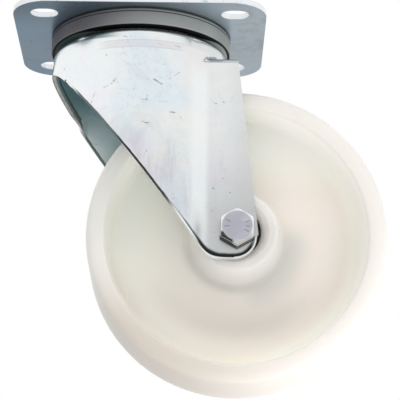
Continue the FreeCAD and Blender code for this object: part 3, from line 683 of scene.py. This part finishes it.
def seal_shade(where, coat):
    """Painted light on the seal: its right side painted paler, its underside painted as shade,
    black at the outer edge, with the crown's shoulder painted on as a reflection, dark greenish on
    the left and pale on the right, and thin painted shade lines at its top.
    """
    x, y, z = split(where)
    inset = span(x, y) - SEAL_RADIUS
    # Painted light: the right side paler
    right = x.rise(-50, 50)
    coat.add(right * 0.80, (0.47, 0.505, 0.495))
    # Painted shade under the seal, black at the outer edge, with a painted reflection of the
    # crown's shoulder inside it
    under = (z - SEAL_LOW.z).fall(3, 4)
    shift = x.rise(-38, -15) * x.fall(30, 46) * 4 * MILLI
    outer = (inset + shift).rise(-2.3, -1.5)
    underside_shade = Coat((0.08, 0.115, 0.115))
    underside_shade.add(right, (0.62, 0.68, 0.65))
    underside_shade.add(outer, (0.002, 0.002, 0.002))
    coat.add(under * inset.fall(-0.6, -0.3) * 0.98, underside_shade.colour)
    # Thin painted shade lines at the top, where the seal meets the plate
    lines = most([z.rise(-4.1, -3.9), abs(z + 5.2 * MILLI).fall(0.20, 0.45)])
    coat.add(lines * 0.80, (0.012, 0.016, 0.016))


# Directions of the plain strokes on the bolt's head, in degrees
STROKES = (22, -4, -30, 152, 184)


def bolt_shade(where, coat):
    """The axle bolt's head: the chamfer painted with a highlight above and a dark reflection below,
    plain radial strokes, and side faces painted with reflections in stripes, dark on the left and
    bright on the right.
    """
    x, y, z = split(where)
    x = x - AXLE.x
    z = z - AXLE.z
    depth = y - HEAD_FACE
    head = y.fall(-33.3, -33.0)
    front = depth.fall(0.75, 0.9)
    chamfer = span(x, z).rise(7.9, 8.2) * head * front
    sides = head * (1 - front) * z.fall(-4.8, -4.3)
    slope = (x - z * 0.25).rise(-1.2, 1.2)

    def stripe(centre, half):
        return abs(depth - centre * MILLI).fall(half - 0.15, half + 0.15)

    def stroke(degrees):
        turn = math.radians(degrees)
        ray = Vector((math.cos(turn), 0, math.sin(turn)))
        centre = Vector((AXLE.x, HEAD_FACE, AXLE.z)) / MILLI
        return scratch(where, centre + ray * 4.3, centre + ray * 6.6, 0.42)

    # Painted reflections on the side faces: dark with light stripes on the left, bright with dark
    # stripes on the right
    left = Coat((0.008, 0.010, 0.008))
    left.add(stripe(3.5, 0.35), (0.75, 0.77, 0.74))
    left.add(stripe(5.6, 0.5), (0.12, 0.13, 0.12))
    right = Coat((1.0, 1.0, 0.97))
    right.add(stripe(3.0, 0.3), (0.03, 0.03, 0.028))
    right.add(stripe(6.1, 0.4), (0.06, 0.06, 0.055))
    coat.add(sides * 0.96, mix_colour(slope, left.colour, right.colour))
    # Painted highlight on the chamfer, with a dark painted reflection below on the left
    below = z.fall(-4, -2) * (1 - slope)
    coat.add(chamfer * 0.9, mix_colour(below, (0.93, 0.94, 0.94), (0.02, 0.022, 0.02)))
    strokes = most(stroke(degrees) for degrees in STROKES)
    coat.add(strokes * depth.fall(0.02, 0.10) * 0.6, (0.10, 0.10, 0.11))
    return most([sides * (1 - slope * 0.5), chamfer * below])


def nylon_material(settings):
    """Ivory nylon: warm and cool clouds, painted light and shade by zone, a painted warm glow round
    the bore, turned rings and specks.
    """
    material = new_material("nylon", Specular_IOR_Level=0.45, Subsurface_Weight=0.85,
                            Subsurface_Radius=(1.0, 0.97, 0.9), Subsurface_Scale=16 * MILLI)
    where = place_of(material)
    x, _, z = split(where)
    ahead = x - AXLE.x
    up = z - AXLE.z
    radius = span(ahead, up)
    base = Vector(settings.nylon)
    cloud = noise(where, 14, 3, 0.5, 0.3)
    drift = noise(where, 22, 2, 0.5)
    coat = Coat(base)
    coat.add(cloud.between(0.35, 0.65), base * 0.96 + Vector((0.0, 0.012, 0.02)))
    coat.add(drift.between(0.50, 0.70) * 0.6, base * 0.97 + Vector((0.02, -0.006, 0.0)))
    coat.add(ahead.rise(-55, 30) * 0.55, base + Vector((0.05, 0.0, 0.0)))
    # Painted light on the rim's inner wall: on the right, on the left and at the top
    dish = radius.fall(69.6, 70.4)
    wall = dish * radius.rise(58, 66) * ahead.rise(-20, 30)
    coat.add(wall * 0.85, (1.0, 0.96, 0.89))
    left = radius.fall(64, 72) * ahead.fall(-60, -25) * up.rise(-40, 0)
    coat.add(left * 0.8, (0.99, 0.97, 0.89))
    high = radius.fall(64, 70) * up.rise(25, 55)
    coat.add(high * 0.85, (1.0, 0.975, 0.90))
    # Painted shade on the lower web, the boss, the lower rim and the hub's flank
    low = up.fall(-55, -12)
    web = low * radius.fall(46, 60) * (1 - ahead.rise(20, 60) * 0.7)
    coat.add(web * 0.92, (0.72, 0.69, 0.645))
    boss = radius.fall(30, 44) * ahead.rise(0, 12) * up.fall(-4, 14)
    coat.add(boss * 0.85, (0.71, 0.71, 0.675))
    rim = low * (1 - dish) * ahead.fall(-40, 45)
    coat.add(rim * 0.95, (0.66, 0.61, 0.555))
    flank = radius.rise(18, 20) * radius.fall(26, 32) * up.fall(-14, 4)
    coat.add(flank * 0.8, (0.70, 0.69, 0.66))
    # Painted warm glow round the bore
    coat.add(radius.fall(14, 21) * 0.6, (0.96, 0.87, 0.82))
    sparse = noise(where, 31, 2, 0.5).between(0.58, 0.62)
    coat.add(dots(where, 60, 0.03, 0.07) * sparse * 0.6, (0.30, 0.24, 0.18))
    rings = node(material, "ShaderNodeTexNoise", {"noise_dimensions": "1D"},
                 {"W": radius, "Scale": 900, "Detail": 3, "Roughness": 0.6})
    height = rings * 0.25 + noise(where, 45, 2, 0.5) * 0.8
    feed(material, Base_Color=coat.colour, Roughness=0.36 + cloud * 0.12,
         Normal=bump(height, 0.10, 0.4 * MILLI))
    return material


def give(thing, material):
    thing.data.materials.clear()
    thing.data.materials.append(material)


# Mesh helpers

def mesh_object(name, vertices, faces):
    mesh = bpy.data.meshes.new(name)
    mesh.from_pydata(vertices, [], faces)
    mesh.validate()
    mesh.update()
    thing = bpy.data.objects.new(name, mesh)
    bpy.context.scene.collection.objects.link(thing)
    return thing


def rounded(points, arc_steps=6):
    """Rounds the corners of a closed outline given as (x, y, radius)."""
    result = []
    for index, (x, y, radius) in enumerate(points):
        here = Vector((x, y))
        back = (Vector(points[index - 1][:2]) - here).normalized()
        ahead = (Vector(points[(index + 1) % len(points)][:2]) - here).normalized()
        half = back.angle(ahead) / 2
        centre = here + (back + ahead).normalized() * (radius / math.sin(half))
        first = here + back * (radius / math.tan(half)) - centre
        last = here + ahead * (radius / math.tan(half)) - centre
        sweep = first.angle_signed(last)
        for step in range(arc_steps + 1):
            turn = Matrix.Rotation(-sweep * step / arc_steps, 2)
            result.append(centre + turn @ first)
    return result


def turned(name, outline, centre, steps):
    """Turns a closed outline of (radius, distance along Y, rounding) once round the Y axis."""
    points = rounded(outline)
    count = len(points)
    vertices = []
    faces = []
    for step in range(steps):
        angle = 2 * math.pi * step / steps
        following = (step + 1) % steps
        for index, point in enumerate(points):
            after = (index + 1) % count
            vertices.append(centre + Vector(
                (point.x * math.cos(angle), point.y, point.x * math.sin(angle))))
            faces.append((step * count + index, step * count + after,
                          following * count + after, following * count + index))
    thing = mesh_object(name, vertices, faces)
    work = bmesh.new()
    work.from_mesh(thing.data)
    smooth_outside(work)
    work.to_mesh(thing.data)
    work.free()
    thing.data.set_sharp_from_angle(angle=CRISP_ANGLE)
    return thing


def smooth_outside(work):
    """Turns every face outwards and shades it smooth."""
    bmesh.ops.recalc_face_normals(work, faces=work.faces)
    for face in work.faces:
        face.smooth = True


def smooth(share):
    """0 below 0, 1 above 1, and an even S-curve in between."""
    share = min(max(share, 0), 1)
    return share * share * (3 - 2 * share)


# Operators

class CASTOR_OT_metal(bpy.types.Operator):
    """Gives every steel piece of the CAD model its plated finish"""
    bl_idname = "castor.metal"
    bl_label = "Metal finishes"

    def execute(self, context):
        settings = context.scene.castor_metal
        zinc_material("fork_zinc", settings.zinc, contrast=1.5, scratches=1.0, roughness=0.13,
                      metallic=0.94, shade=fork_shade(context.scene.castor_fork))
        plate_zinc = zinc_material("plate_zinc", settings.plate_zinc, contrast=0.6, scratches=0.4,
                                   roughness=0.26, metallic=0.92,
                                   shade=plate_shade(settings.bright_edge))
        bolt_zinc = steel_material("bolt_zinc", settings.bolt_zinc, 0.24)
        axle_thread = dict(axis=1, pitch=1.5 * MILLI, reach=5.02 * MILLI, place=AXLE,
                           start=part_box("axle_nut")[0].y, finish=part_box("axle_bolt")[1].y)
        head_zinc = steel_material("head_zinc", settings.bolt_zinc, 0.24, bolt_shade, axle_thread)
        pin_thread = dict(axis=2, pitch=1.75 * MILLI, reach=6.02 * MILLI,
                          place=middle("kingpin_bolt"), start=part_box("kingpin_bolt")[0].z,
                          finish=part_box("kingpin_nut")[0].z)
        pin_zinc = steel_material("pin_zinc", settings.bolt_zinc, 0.24, thread=pin_thread)
        bearing = steel_material("bearing_steel", settings.bearing, 0.15)
        finishes = {
            "top_plate": plate_zinc, "lower_race_cup": plate_zinc, "upper_race_ring": bearing,
            "upper_ball_set": bearing, "lower_ball_set": bearing, "axle_tube": bearing,
            "axle_washer": bolt_zinc, "axle_nut": bolt_zinc, "axle_bolt": head_zinc,
            "kingpin_bolt": pin_zinc, "kingpin_nut": bolt_zinc,
        }
        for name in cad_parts:
            if name.startswith("roller_") and name != "roller_cage":
                finishes[name] = bearing
        for name, material in finishes.items():
            give(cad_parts[name], material)
        return {"FINISHED"}


class CASTOR_OT_plastic(bpy.types.Operator):
    """Gives the seal, the roller cage and the nut's locking ring their moulded finish"""
    bl_idname = "castor.plastic"
    bl_label = "Plastic finishes"

    def execute(self, context):
        settings = context.scene.castor_plastic
        seal = plastic_material("seal_grey", settings.seal, 0.42, 900, seal_shade)
        give(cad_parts["seal_ring"], seal)
        cage = plastic_material("cage_black", settings.cage, 0.45, 700)
        give(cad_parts["roller_cage"], cage)
        insert = plastic_material("lock_ring", settings.insert, 0.40, 700)
        give(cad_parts["nut_insert"], insert)
        return {"FINISHED"}


class CASTOR_OT_fork(bpy.types.Operator):
    """Finishes the drawn fork: its flared lip behind the wheel and its rolled edges"""
    bl_idname = "castor.fork"
    bl_label = "Drawn fork"

    # The lip is cut along these heights and at these distances beside its ends, in millimetres
    LIP_HEIGHTS = (1, 2, 3.5, 5, 7, 10)
    LIP_ENDS = (-4, -3, -2, -1, 0, 1, 2)
    LIP_FADE = 4 * MILLI

    # How far forwards the slanting edge is shaped at all
    REAR_FRONT = 30 * MILLI

    # Where the far leg's flare starts beside the lip and ends in front, and how wide both fade
    FAR_GAP = 2.3 * MILLI
    FAR_FADE = 1.6 * MILLI
    FAR_FRONT = -5 * MILLI
    FAR_FRONT_FADE = 25 * MILLI

    # The height above which the front edge is let out, and over which that fades in
    LET_HEIGHT = -134 * MILLI
    LET_FADE = 10 * MILLI

    # The box round the near corner where the crown runs into a leg's shelf
    SHELF_LOW = Vector((30, 20, -34)) * MILLI
    SHELF_HIGH = Vector((47, 48, -17)) * MILLI
    SHELF_FADE = 4 * MILLI
    SHELF_TURNS = 30

    def execute(self, context):
        settings = context.scene.castor_fork
        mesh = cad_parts["fork"].data.copy()
        mesh.name = "drawn_fork"
        fork = bpy.data.objects.new("drawn_fork", mesh)
        context.scene.collection.objects.link(fork)
        self.shape(mesh, settings)
        mesh.set_sharp_from_angle(angle=CRISP_ANGLE)
        edges = fork.modifiers.new("rolled_edges", "BEVEL")
        edges.width = settings.edge_round
        edges.segments = 3
        edges.limit_method = "ANGLE"
        edges.angle_limit = math.radians(50)
        give(fork, bpy.data.materials["fork_zinc"])
        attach(fork, FORK_BODY)
        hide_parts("fork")
        return {"FINISHED"}

    def shape(self, mesh, settings):
        work = bmesh.new()
        work.from_mesh(mesh)
        bmesh.ops.remove_doubles(work, verts=work.verts, dist=0.001 * MILLI)
        self.tighten_shoulder(work, settings)
        self.flare_lip(work, settings)
        self.let_out_front(work, settings)
        for side in (-1, 1):
            self.soften(work, side)
        smooth_outside(work)
        work.to_mesh(mesh)
        work.free()

    def tighten_shoulder(self, work, settings):
        """Draws the outside of the crown's shoulder to a smaller radius."""
        crown = -settings.arch_rear[0]
        top = max(vertex.co.z for vertex in work.verts if vertex.co.xy.length > 0.6 * crown)
        ring = Vector((crown - settings.shoulder, top - settings.shoulder))
        tight = Vector((crown - settings.tight_shoulder, top - settings.tight_shoulder))
        for vertex in work.verts:
            spot = vertex.co
            plan = spot.xy.length
            arm = Vector((plan, spot.z)) - ring
            if arm.x < -0.01 * MILLI or arm.y < -0.01 * MILLI:
                continue
            if abs(arm.length - settings.shoulder) > 0.1 * MILLI:
                continue
            there = tight + arm * (settings.tight_shoulder / settings.shoulder)
            spot.x *= there.x / plan
            spot.y *= there.x / plan
            spot.z = there.y

    def flare_lip(self, work, settings):
        """Turns the edge behind the wheel outwards and rolls its inner corner up."""
        rear = Vector(settings.arch_rear)
        normal = inwards_of(rear, Vector(settings.arch_foot))
        middle_radius = -rear.x - settings.sheet / 2
        reach = self.LIP_HEIGHTS[-1] * MILLI
        for step in self.LIP_HEIGHTS:
            self.slice(work, rear + Vector((0, 0, step * MILLI)), normal)
        for step in self.LIP_ENDS:
            for side in (-1, 1):
                end = side * (settings.lip_half_width + step * MILLI)
                self.slice(work, Vector((0, end, 0)), Vector((0, 1, 0)))
        for vertex in work.verts:
            spot = vertex.co
            if spot.x > self.REAR_FRONT or spot.z > rear.z + reach:
                continue
            height = (spot - rear).dot(normal)
            if height > reach or height < -MILLI:
                continue
            fall = (1 - max(height, 0) / reach) ** 2
            far = smooth((spot.y - settings.lip_half_width - self.FAR_GAP) / self.FAR_FADE)
            far *= 1 - smooth((spot.x - self.FAR_FRONT) / self.FAR_FRONT_FADE)
            spot -= normal * settings.far_flare * far * fall
            if spot.x > 0:
                continue
            inwards = settings.lip_half_width + MILLI - abs(spot.y)
            share = smooth(inwards / self.LIP_FADE) * fall
            radial = Vector((spot.x, spot.y, 0))
            if radial.length > middle_radius:
                spot += radial.normalized() * settings.flare * share
            else:
                spot.z += settings.lip * share

    def let_out_front(self, work, settings):
        """Moves the legs' front edge a little forwards, fading out at the foot."""
        front = Vector(settings.front_foot)
        normal = inwards_of(front, Vector(settings.front_top))
        for vertex in work.verts:
            spot = vertex.co
            if abs((spot - front).dot(normal)) > 0.05 * MILLI:
                continue
            fade = smooth((spot.z - self.LET_HEIGHT) / self.LET_FADE)
            spot.x += settings.front_let * fade

    def soften(self, work, side):
        """Blends the corner where the crown runs into a leg's shelf, as deep drawing does."""
        low = self.SHELF_LOW
        high = self.SHELF_HIGH

        def depth(spot):
            """How far inside the box a spot lies, or less than 0 outside it."""
            here = Vector((spot.x, spot.y * side, spot.z))
            return min(min(here[axis] - low[axis], high[axis] - here[axis]) for axis in range(3))

        for axis in range(3):
            count = round((high[axis] - low[axis]) / MILLI)
            for step in range(count + 1):
                spot = Vector()
                spot[axis] = low[axis] + step * MILLI
                normal = Vector()
                normal[axis] = 1
                if axis == 1:
                    spot.y *= side
                faces = [face for face in work.faces
                         if step in (0, count) or depth(face.calc_center_median()) > -MILLI]
                edges = {edge for face in faces for edge in face.edges}
                corners = {corner for face in faces for corner in face.verts}
                bmesh.ops.bisect_plane(work, geom=faces + list(edges) + list(corners),
                                       dist=0.02 * MILLI, plane_co=spot, plane_no=normal)
        inner = [vertex for vertex in work.verts if depth(vertex.co) > 0]
        for _ in range(self.SHELF_TURNS):
            moved = []
            for vertex in inner:
                near = [edge.other_vert(vertex).co for edge in vertex.link_edges]
                mean = sum(near, Vector()) / len(near)
                share = 0.6 * smooth(depth(vertex.co) / self.SHELF_FADE)
                moved.append(vertex.co.lerp(mean, share))
            for vertex, spot in zip(inner, moved):
                vertex.co = spot

    def slice(self, work, spot, normal):
        everything = work.verts[:] + work.edges[:] + work.faces[:]
        bmesh.ops.bisect_plane(work, geom=everything, dist=0.001 * MILLI, plane_co=spot,
                               plane_no=normal)


class CASTOR_OT_wheel(bpy.types.Operator):
    """Turns the nylon wheel: tread, rim, dished web and hub boss"""
    bl_idname = "castor.wheel"
    bl_label = "Nylon wheel"

    def execute(self, context):
        settings = context.scene.castor_wheel
        half = settings.rim_half_width
        side = [
            (settings.bore, HUB_HALF - settings.mouth_depth, settings.bore_round),
            (settings.mouth, HUB_HALF, settings.mouth_round),
            (settings.hub_edge, HUB_HALF, settings.hub_edge_round),
            (settings.hub_foot, settings.web_half_inside, settings.hub_foot_round),
            (settings.rim_foot, settings.web_half_outside, settings.web_round),
            (settings.rim_edge, half, settings.rim_edge_round),
            (WHEEL_RADIUS, half, settings.tread_round),
        ]
        other = [(radius, -along, rounding) for radius, along, rounding in reversed(side)]
        wheel = turned("nylon_wheel", side + other, AXLE, settings.steps)
        give(wheel, nylon_material(settings))
        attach(wheel, WHEEL_BODY)
        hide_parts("wheel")
        return {"FINISHED"}


class CASTOR_OT_stage(bpy.types.Operator):
    """Sets the pale floor, the soft lamps, the white background and the camera"""
    bl_idname = "castor.stage"
    bl_label = "Stage"

    # Name, place, diameter and power in watts, and colour
    LAMPS = [
        ("key", (0.95, -0.80, 0.45), 1.2, 4.8, (1.0, 0.985, 0.96)),
        ("low", (0.25, -0.25, -0.80), 0.6, 3.0, (1.0, 0.99, 0.98)),
        ("back", (0.65, 0.75, -0.55), 0.9, 4.5, (1.0, 1.0, 1.0)),
        ("top", (-0.70, -0.60, 0.80), 1.4, 4.0, (1.0, 0.99, 0.97)),
    ]
    LAMP_TARGET = Vector((0.04, 0, -0.09))

    def execute(self, context):
        settings = context.scene.castor_stage
        self.floor(settings)
        self.world(context, settings)
        for lamp in self.LAMPS:
            self.lamp(context, *lamp)
        self.camera(context, settings)
        context.scene.view_settings.view_transform = "Standard"
        return {"FINISHED"}

    def floor(self, settings):
        height = WHEEL_LOW.z - settings.floor_drop
        reach = settings.floor_reach
        corners = [(-reach, -reach, height), (reach, -reach, height), (reach, reach, height),
                   (-reach, reach, height)]
        floor = mesh_object("floor", corners, [(0, 1, 2, 3)])
        give(floor, new_material("pale_floor", Base_Color=settings.floor_tone, Roughness=0.8))

    def world(self, context, settings):
        world = bpy.data.worlds.new("studio")
        context.scene.world = world
        world.use_nodes = True
        back = world.node_tree.nodes["Background"]
        back.inputs["Color"].default_value = (1, 1, 1, 1)
        rays, glossy, through = [
            node(world, "ShaderNodeLightPath", output=f"Is {kind} Ray")
            for kind in ("Camera", "Glossy", "Transmission")]
        seen = (rays + glossy + through).clamp()
        strength = seen * (1 - settings.sky_light) + settings.sky_light
        world.node_tree.links.new(strength.socket, back.inputs["Strength"])

    def lamp(self, context, name, place, size, power, colour):
        light = bpy.data.lights.new(name, "AREA")
        light.shape = "DISK"
        light.size = size
        light.energy = power
        light.color = colour
        lamp = bpy.data.objects.new(name, light)
        lamp.visible_glossy = False
        lamp.location = place
        lamp.rotation_mode = "QUATERNION"
        aim = self.LAMP_TARGET - Vector(place)
        lamp.rotation_quaternion = aim.to_track_quat("-Z", "Y")
        context.scene.collection.objects.link(lamp)

    def camera(self, context, settings):
        yaw = Matrix.Rotation(settings.yaw, 4, "Z")
        pitch = Matrix.Rotation(math.pi / 2 + settings.pitch, 4, "X")
        roll = Matrix.Rotation(settings.roll, 4, "Z")
        data = bpy.data.cameras.new("camera")
        data.sensor_width = SENSOR
        data.lens = settings.focal_pixels / IMAGE_SIZE * SENSOR
        data.clip_start = 0.05
        data.clip_end = 50
        camera = bpy.data.objects.new("camera", data)
        place = Matrix.Translation(settings.camera_place)
        camera.matrix_world = place @ yaw @ pitch @ roll
        context.scene.collection.objects.link(camera)
        context.scene.camera = camera


class CASTOR_PT_panel(bpy.types.Panel):
    """Lists the castor's pieces"""
    bl_idname = "CASTOR_PT_panel"
    bl_label = "Swivel castor"
    bl_space_type = "VIEW_3D"
    bl_region_type = "UI"
    bl_category = "Castor"

    def draw(self, context):
        for operator in OPERATORS:
            self.layout.operator(operator.bl_idname)


OPERATORS = [CASTOR_OT_metal, CASTOR_OT_plastic, CASTOR_OT_fork, CASTOR_OT_wheel, CASTOR_OT_stage]
SETTINGS = {
    "castor_wheel": WheelSettings,
    "castor_fork": ForkSettings,
    "castor_metal": MetalSettings,
    "castor_plastic": PlasticSettings,
    "castor_stage": StageSettings,
}


def register():
    for group in SETTINGS.values():
        bpy.utils.register_class(group)
    for name, group in SETTINGS.items():
        setattr(bpy.types.Scene, name, PointerProperty(type=group))
    for operator in OPERATORS:
        bpy.utils.register_class(operator)
    bpy.utils.register_class(CASTOR_PT_panel)


def unregister():
    bpy.utils.unregister_class(CASTOR_PT_panel)
    for operator in reversed(OPERATORS):
        bpy.utils.unregister_class(operator)
    for name, group in SETTINGS.items():
        delattr(bpy.types.Scene, name)
        bpy.utils.unregister_class(group)


def main():
    register()
    bpy.ops.castor.metal()
    bpy.ops.castor.plastic()
    bpy.ops.castor.fork()
    bpy.ops.castor.wheel()
    bpy.ops.castor.stage()


if __name__ == "__main__":
    main()
